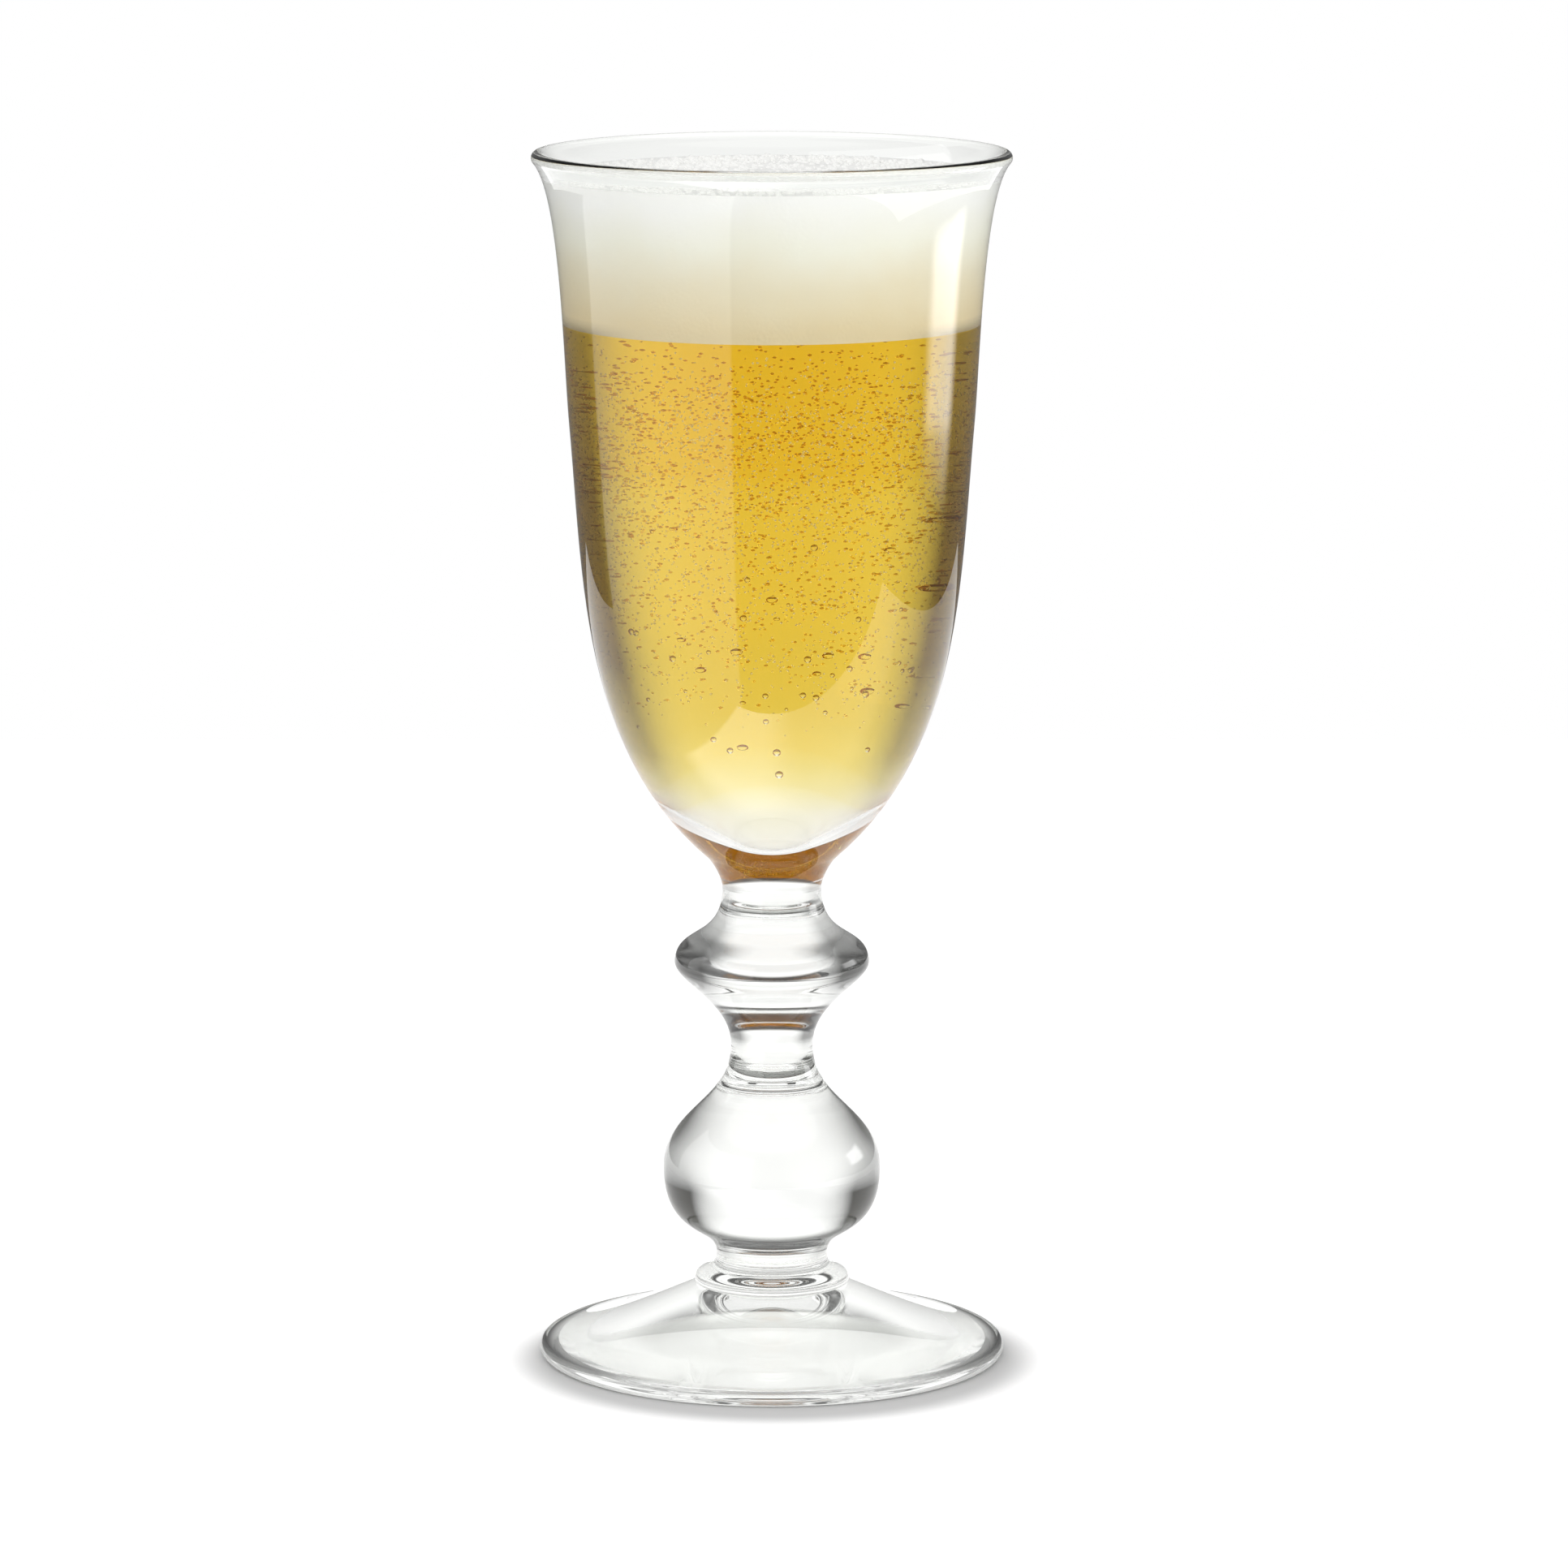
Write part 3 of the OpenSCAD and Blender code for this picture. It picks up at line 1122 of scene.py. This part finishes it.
@dataclass
class Bowl:
    """Blown bowl with a thick base, a thin wall and a flared lip that ends in a bead."""

    base_z: float
    neck_diameter: float
    glass: bpy.types.Material
    wet_glass: bpy.types.Material
    seam: bpy.types.Material
    steps: int = 26
    segments: int = 192

    height: float = 121.4
    shoulder_diameter: float = 21.6
    shoulder_height: float = 5.2
    shoulder_lean: float = 49.0
    wall_diameter: float = 66.2
    wall_height: float = 77.1
    wall_lean: float = 4.9
    wall_thickness: float = 1.7
    base_thickness: float = 10.6
    rim_diameter: float = 78.2
    bead_thickness: float = 2.1
    lip_lean: float = 41.0
    neck_pulls: Span = (0.27, 0.27)
    cup_pulls: Span = (0.38, 0.364)
    lip_pulls: Span = (0.247, 0.16)
    tip_radius: float = 9.0
    floor_lean: float = 64.0
    inside_pulls: Span = (0.42, 0.58)
    brim_gap: float = 3.8
    foam_height: float = 24.2
    floor_slack: float = 0.1

    @property
    def rim_z(self) -> float:
        """Height of the top of the rim."""
        return self.base_z + self.height

    @property
    def floor_z(self) -> float:
        """Height of the inside floor."""
        return self.base_z + self.base_thickness

    @property
    def foam_z(self) -> float:
        """Height of the foam at the wall."""
        return self.rim_z - self.brim_gap

    @property
    def beer_z(self) -> float:
        """Height of the beer."""
        return self.foam_z - self.foam_height

    @property
    def _bead(self) -> Vector:
        """Centre of the bead of the rim."""
        return spot((self.rim_diameter - self.bead_thickness) / 2, self.rim_z - self.bead_thickness / 2)

    @property
    def _wall(self) -> Vector:
        """Point half way up the outside of the cup."""
        return spot(self.wall_diameter / 2, self.base_z + self.wall_height)

    @property
    def _lip_step(self) -> Vector:
        """Step from the middle of the bead out to where the outside of the lip runs into it."""
        return lean(90 + self.lip_lean) * (self.bead_thickness / 2)

    def inner_tip(self) -> Curve:
        """Draws the rounded tip of the inside, from the middle of the floor out."""
        centre = spot(0.0, self.floor_z + self.tip_radius)
        return Outline().arc(centre, self.tip_radius, -90, -self.floor_lean).curves[0]

    def inner_cup(self) -> Curve:
        """Draws the inside from the tip up to half way up the wall."""
        top = self._wall - spot(self.wall_thickness, 0.0)
        return leaning(self.inner_tip()[3], self.floor_lean, top, self.wall_lean, self.inside_pulls)

    def inner_lip(self) -> Curve:
        """Draws the inside from half way up the wall to the bead."""
        low = self._wall - spot(self.wall_thickness, 0.0)
        return leaning(low, self.wall_lean, self._bead - self._lip_step, self.lip_lean, self.lip_pulls)

    def inner_parts(self) -> tuple[Curve, Curve, Curve]:
        """Cuts the inside of the lip where the beer and the foam end.

        Returns:
            The parts beside the beer, beside the foam and above the drink.
        """
        lip = self.inner_lip()
        beside_beer, rest = split(lip, share_at_height(lip, self.beer_z))
        beside_foam, dry = split(rest, share_at_height(rest, self.foam_z))
        return beside_beer, beside_foam, dry

    def build(self) -> bpy.types.Object:
        """Builds and dresses the bowl.

        Returns:
            The piece.
        """
        neck = spot(self.neck_diameter / 2, self.base_z)
        shoulder = spot(self.shoulder_diameter / 2, self.base_z + self.shoulder_height)
        outline = Outline().add(
            leaning(neck, 0.0, shoulder, self.shoulder_lean, self.neck_pulls),
            leaning(shoulder, self.shoulder_lean, self._wall, self.wall_lean, self.cup_pulls),
            leaning(self._wall, self.wall_lean, self._bead + self._lip_step, self.lip_lean, self.lip_pulls),
        )
        outline.arc(self._bead, self.bead_thickness / 2, -self.lip_lean, 180 - self.lip_lean)
        inside = (self.inner_tip(), self.inner_cup(), *self.inner_parts())
        outline.add(*(reverse(part) for part in reversed(inside)))
        piece = Bench.turn("bowl_glass", outline, self.steps, self.segments)
        Bench.coat(piece, self.glass)
        Bench.coat(piece, self.wet_glass, self._is_wet)
        Bench.coat(piece, self.seam, self._is_fused)
        return Piece.hand_in(piece, Slot.GLASS, "bowl")

    def _is_fused(self, centre: Vector, normal: Vector) -> bool:
        """Says whether a face of the bowl is the one that is fused to the upper knop."""
        return centre.z < self.base_z + SEAM_REACH and normal.z < -LEVEL_NORMAL

    def _is_wet(self, centre: Vector, normal: Vector) -> bool:
        """Says whether a face of the bowl is an inside face that the drink wets."""
        inside = normal.x * centre.x + normal.y * centre.y < 0.0 or normal.z > LEVEL_NORMAL
        return inside and self.floor_z - self.floor_slack < centre.z < self.foam_z


@dataclass(frozen=True)
class BeerLayer:
    """Layer of beer: the strength of its colour, set per layer as painted light and shade, and where its
    domed lower face lies.
    """

    name: str
    density: float
    middle: float = 0.0
    wall: float = 0.0
    pulls: Span = (0.55, 0.25)


@dataclass
class Drink:
    """Beer with its bubbles, and the head of foam."""

    bowl: Bowl
    bubble: bpy.types.Material
    fine_bubble: bpy.types.Material
    foam: bpy.types.Material
    seed: int = 7
    gap: float = 0.04
    steps: int = 26
    segments: int = 192
    crown: float = 0.9
    crown_pull: float = 0.55
    # Painted light and shade: the colour is thinned layer by layer towards the base, and is deepest in the
    # top layer.
    layers: tuple[BeerLayer, ...] = (
        BeerLayer("beer_base", density=13.0),
        BeerLayer("beer_low", density=30.0, middle=99.0, wall=94.5),
        BeerLayer("beer_middle", density=46.0, middle=105.0, wall=97.0),
        BeerLayer("beer_golden", density=54.0, middle=111.0, wall=100.0),
        BeerLayer("beer_upper", density=63.0, middle=147.0, wall=146.0),
    )
    main_layer: str = "beer_golden"

    fine_count: int = 9500
    fine_sizes: Span = (0.13, 0.26)
    fine_low: float = 108.0
    fine_densest: float = 158.0
    fine_below_foam: float = 0.8
    fine_wall_gap: float = 0.15
    fine_wall_share: float = 0.7
    fine_wall_spread: float = 2.0

    large_count: int = 90
    large_sizes: Span = (0.3, 0.7)
    large_low: float = 96.0
    large_high: float = 142.0
    large_densest: float = 116.0
    large_wall_share: float = 1.25

    froth_count: int = 1500
    froth_sizes: Span = (0.15, 0.7)
    froth_usual_size: float = 0.25
    froth_wall_gap: float = 0.8
    froth_sunk_share: float = 0.2

    def build(self) -> list[bpy.types.Object]:
        """Builds and dresses the drink.

        Returns:
            The pieces.
        """
        return [
            *self._beer(),
            self._foam(),
            self._fine_bubbles(),
            self._large_bubbles(),
            self._froth(),
        ]

    def _inner_radius(self, height: float) -> float:
        """Gives the radius of the inside of the bowl at a height.

        Args:
            height: Height in the frame.

        Returns:
            The radius.
        """
        curves = (self.bowl.inner_tip(), self.bowl.inner_cup(), self.bowl.inner_lip())
        curve = next((part for part in curves if height < part[3].y), curves[-1])
        return point_on(curve, share_at_height(curve, height)).x

    def _face(self, layer: BeerLayer) -> Curve:
        """Draws the lower face of a layer of beer: a dome, from the axis out to the wall of the bowl.

        Args:
            layer: The layer.

        Returns:
            The four control points of the face.
        """
        edge = spot(self._inner_radius(layer.wall), layer.wall)
        drop = layer.middle - layer.wall
        first, last = layer.pulls
        return (
            spot(0.0, layer.middle),
            spot(edge.x * first, layer.middle),
            edge + spot(-edge.x * last, drop * last),
            edge,
        )

    def _wall_between(self, low: float, high: float) -> Curve:
        """Gives the part of the inside of the cup between two heights."""
        above = split(self.bowl.inner_cup(), share_at_height(self.bowl.inner_cup(), low))[1]
        return split(above, share_at_height(above, high))[0]

    def _beer(self) -> list[bpy.types.Object]:
        """Builds the beer in layers whose colour thins towards the thick base, as painted light for the light
        that comes up through it.

        Returns:
            The pieces, from the base up.
        """
        inward, down = spot(-self.gap, 0.0), spot(0.0, -self.gap)
        up_to_foam = shift(self.bowl.inner_parts()[0], inward)
        cup_top = self.bowl.inner_cup()[3].y
        pieces = []
        for layer, above in zip(self.layers, (*self.layers[1:], None)):
            if layer is self.layers[0]:
                tip, joint = self.bowl.inner_tip(), self.bowl.inner_tip()[3].y
                outline = Outline().add((tip[0] - down, tip[1] - down, tip[2] + inward, tip[3] + inward))
            else:
                face, joint = self._face(layer), layer.wall
                outline = Outline().add((face[0], face[1], face[2] + inward, face[3] + inward))
            if above:
                face = self._face(above)
                outline.add(shift(self._wall_between(joint, above.wall), inward))
                lid = (face[0] + down, face[1] + down, face[2] + inward + down, face[3] + inward)
                outline.add(reverse(lid))
            else:
                outline.add(shift(self._wall_between(joint, cup_top), inward), up_to_foam)
            piece = Bench.turn(layer.name, outline, self.steps, self.segments)
            Bench.coat(piece, GoldenBeer(layer.name, layer.density).make())
            nodes = ["beer"] if layer.name == self.main_layer else []
            pieces.append(Piece.hand_in(piece, Slot.BEER, *nodes))
        return pieces

    def _foam(self) -> bpy.types.Object:
        """Builds the head of foam.

        Returns:
            The piece.
        """
        move = spot(-self.gap, self.gap)
        wall = shift(self.bowl.inner_parts()[1], move)
        edge = wall[3]
        top = edge.y + self.crown
        bend = edge.x * self.crown_pull
        crown = (edge, spot(bend, edge.y), spot(bend, top), spot(0.0, top))
        piece = Bench.turn("foam_head_froth", Outline().add(wall, crown), self.steps, self.segments)
        Bench.coat(piece, self.foam)
        return Piece.hand_in(piece, Slot.FOAM, "foam_head")

    def _bubbles(
        self, name: str, fineness: int, bubbles: Sequence[Bubble], finish: bpy.types.Material, slot: Slot
    ) -> bpy.types.Object:
        """Builds bubbles of one kind as one piece.

        Args:
            name: Name of the piece.
            fineness: Times that the faces of a bubble are divided, from 1.
            bubbles: Centre and radius of each bubble.
            finish: Material of the bubbles.
            slot: The record's slot that they belong to.

        Returns:
            The piece.
        """
        piece = Bench.scatter(name, Bench.bead(f"{name}_model", fineness), bubbles)
        Bench.coat(piece, finish)
        return Piece.hand_in(piece, slot)

    def _fine_bubbles(self) -> bpy.types.Object:
        """Builds the cloud of fine bubbles, densest in the upper half of the beer and near the wall.

        Returns:
            The piece.
        """
        draw = random.Random(self.seed)
        bubbles: list[Bubble] = []
        top = self.bowl.beer_z - self.fine_below_foam
        while len(bubbles) < self.fine_count:
            height = draw.triangular(self.fine_low, top, self.fine_densest)
            size = draw.uniform(*self.fine_sizes)
            room = self._inner_radius(height) - size - self.fine_wall_gap
            if draw.random() < self.fine_wall_share:
                radius = room - abs(draw.gauss(0.0, self.fine_wall_spread))
            else:
                radius = room * math.sqrt(draw.random())
            angle = draw.uniform(0.0, math.tau)
            if radius > 0:
                bubbles.append((around(radius, angle, height), size))
        return self._bubbles("beer_bubbles_fine", 1, bubbles, self.fine_bubble, Slot.BEER)

    def _large_bubbles(self) -> bpy.types.Object:
        """Builds the few larger bubbles that cling to the lower wall.

        Returns:
            The piece.
        """
        draw = random.Random(self.seed + 1)
        bubbles: list[Bubble] = []
        for _ in range(self.large_count):
            height = draw.triangular(self.large_low, self.large_high, self.large_densest)
            size = draw.uniform(*self.large_sizes)
            radius = self._inner_radius(height) - size * self.large_wall_share
            angle = draw.uniform(0.0, math.tau)
            bubbles.append((around(radius, angle, height), size))
        return self._bubbles("beer_bubbles_large", 2, bubbles, self.bubble, Slot.BEER)

    def _froth(self) -> bpy.types.Object:
        """Builds the small bubbles that stand out of the top of the foam.

        Returns:
            The piece.
        """
        draw = random.Random(self.seed + 2)
        bubbles: list[Bubble] = []
        room = self._inner_radius(self.bowl.foam_z) - self.froth_wall_gap
        for _ in range(self.froth_count):
            size = draw.triangular(*self.froth_sizes, self.froth_usual_size)
            radius = (room - size) * math.sqrt(draw.random())
            angle = draw.uniform(0.0, math.tau)
            top = self.bowl.foam_z + self.crown * (1 - (radius / room) ** 2)
            bubbles.append((around(radius, angle, top - size * self.froth_sunk_share), size))
        return self._bubbles("foam_head_bubbles", 2, bubbles, self.foam, Slot.FOAM)


@dataclass
class Studio:
    """Pale table, soft light and camera."""

    table_front: float = -0.16
    table_back: float = 0.62
    table_side: float = 0.42
    camera_place: tuple[float, float, float] = (0.0, -1.2128, 0.3048)
    camera_pitch: float = 9.78
    camera_focal_px: float = 9213.4
    axis_left_px: float = 15.0
    sensor: float = 36.0
    clip: Span = (0.01, 50.0)
    # What matt surfaces get: in the open, through a glass wall, and deep inside, by walls crossed.
    ambient: float = 0.97
    shadow_ambient: float = 0.3
    inside_ambient: float = 2.2
    inside_walls: Span = (2.5, 4.0)
    # What glass shows: heights in degrees of the bright backdrop and the ceiling, dark between them.
    dark: float = 0.1
    backdrop_top: Span = (17.0, 27.0)
    backdrop_gain: float = 0.5
    backdrop_gain_range: Span = (4.0, 30.0)
    ceiling_edge: Span = (50.0, 57.0)
    mirrored_backdrop: float = 0.12
    mirrored_side: Span = (0.0, 0.3)
    panel: CardLight = CardLight(
        "panel_light", "left_panel", glow=1.3, first=-117.0, last=-21.0, soft_angle=2.0,
        distance=1.0, low=-0.9, high=0.9, soft_height=0.02,
    )
    strip: CardLight = CardLight(
        "strip_light", "right_strip", glow=4.8, first=89.0, last=121.0, soft_angle=9.0,
        distance=0.37, low=0.065, high=0.2, soft_height=0.03, only_gleams=True,
    )

    def build(self) -> None:
        """Builds the stage, the light and the camera."""
        self._table()
        self._world()
        self._card(self.panel)
        self._card(self.strip)
        self._camera()
        scene = bpy.context.scene
        scene.view_settings.view_transform = "Standard"
        scene.cycles.max_bounces = 48
        scene.cycles.transmission_bounces = 32
        scene.cycles.glossy_bounces = 32
        scene.cycles.diffuse_bounces = 4
        scene.cycles.transparent_max_bounces = 48

    def _table(self) -> None:
        """Lays the table top."""
        Bench.clear()
        bpy.ops.mesh.primitive_plane_add(size=1.0)
        table = bpy.context.object
        table.name = "table"
        bpy.ops.object.mode_set(mode="EDIT")
        bpy.ops.transform.resize(value=(2 * self.table_side, self.table_back - self.table_front, 1.0))
        bpy.ops.transform.translate(value=(0.0, (self.table_back + self.table_front) / 2, 0.0))
        bpy.ops.object.mode_set(mode="OBJECT")
        table.data.materials.append(PaleTable().make())

    def _world(self) -> None:
        """Lights the scene from all round: white to the camera, backdrop and ceiling in the glass."""
        world = bpy.data.worlds.new("studio")
        bpy.context.scene.world = world
        world.use_nodes = True
        board = Board(world.node_tree)
        x, y, z = board.parts(board.node("ShaderNodeTexCoord", out="Generated"))
        height = z.angle_from((x * x + y * y).root())
        backdrop = height.fall(*self.backdrop_top)
        low = backdrop * (1 + self.backdrop_gain * height.rise(*self.backdrop_gain_range))
        ceiling = height.rise(*self.ceiling_edge)
        through = self.dark + (1 - self.dark) * low.larger(ceiling)
        behind = self.mirrored_backdrop * backdrop * y.rise(*self.mirrored_side)
        mirrored = self.dark + (1 - self.dark) * ceiling.larger(behind)
        camera = board.ray(Ray.CAMERA)
        passing = board.ray(Ray.TRANSMISSION)
        lit = board.ray(Ray.LIT).smaller(1.0)
        inside = board.ray(Ray.CROSSED).rise(*self.inside_walls)
        shaded = self.shadow_ambient + (self.inside_ambient - self.shadow_ambient) * inside
        soft = self.ambient + (shaded - self.ambient) * passing
        sharp = passing * through + (1 - passing) * mirrored
        strength = camera + (1 - camera) * (lit * soft + (1 - lit) * sharp)
        shade = board.node("ShaderNodeBackground", {}, {"Color": WHITE, "Strength": strength})
        board.node("ShaderNodeOutputWorld", {}, {"Surface": shade})

    def _card(self, light: CardLight) -> None:
        """Stands an upright glowing card, bent round the glass and unseen by the camera.

        Args:
            light: What it glows with, and where it stands.
        """
        Bench.clear()
        bpy.ops.mesh.primitive_grid_add(x_subdivisions=24, y_subdivisions=4, size=1.0)
        card = bpy.context.object
        card.name = light.card
        for vertex in card.data.vertices:
            across, up = vertex.co.x + 0.5, vertex.co.y + 0.5
            angle = math.radians(light.first + (light.last - light.first) * across)
            height = light.low + (light.high - light.low) * up
            vertex.co = around(light.distance, angle - math.pi / 2, height)
        card.data.materials.append(light.make())
        card.visible_camera = False
        card.visible_diffuse = card.visible_transmission = not light.only_gleams

    def _camera(self) -> None:
        """Sets the camera where the photograph was taken from."""
        data = bpy.data.cameras.new("camera")
        data.sensor_width = self.sensor
        data.lens = self.camera_focal_px / PHOTO_WIDTH * self.sensor
        data.shift_x = self.axis_left_px / PHOTO_WIDTH
        data.clip_start, data.clip_end = self.clip
        camera = bpy.data.objects.new("camera", data)
        bpy.context.scene.collection.objects.link(camera)
        camera.location = self.camera_place
        camera.rotation_euler = (math.radians(90 - self.camera_pitch), 0.0, 0.0)
        bpy.context.scene.camera = camera


def main() -> None:
    """Builds the glass, the drink and the stage, in that order."""
    logging.basicConfig(level=logging.INFO, format="%(name)s: %(message)s")
    # Both glasses carry painted shade at their edges; the bowl's is amber-dark.
    glass = ClearGlass(edges=STEM_PAINTED_EDGE_SHADE).make()
    bowl_glass = ClearGlass(name="bowl_glass", dark=(0.022, 0.009, 0.001), edges=BOWL_PAINTED_EDGE_SHADE).make()
    wet_glass = ClearGlass(
        name="wet_glass", index=GLASS_INDEX / BEER_INDEX, tint=(1.0, 1.0, 1.0), wave_depth=0.02
    ).make()
    seam = FusedSeam().make()
    stem = Stem(glass, seam)
    pieces = stem.build()
    bowl = Bowl(stem.bowl_z, stem.neck_diameter, bowl_glass, wet_glass, seam)
    pieces.append(bowl.build())
    foam = BeerFoam(bowl.beer_z, bowl.foam_z).make()
    # Fine bubbles are half matt golden: painted glints for the light that real bubbles catch.
    fine_bubble = GasBubble(
        "fine_bubble", index=0.9, colour=(1.0, 0.88, 0.45), clear=0.5, roughness=0.1
    ).make()
    pieces += Drink(bowl, GasBubble().make(), fine_bubble, foam).build()
    for piece in pieces:
        log.info("%s: %d faces", piece.name, len(piece.data.polygons))
    Studio().build()
    Bench.clear()


if __name__ == "__main__":
    main()
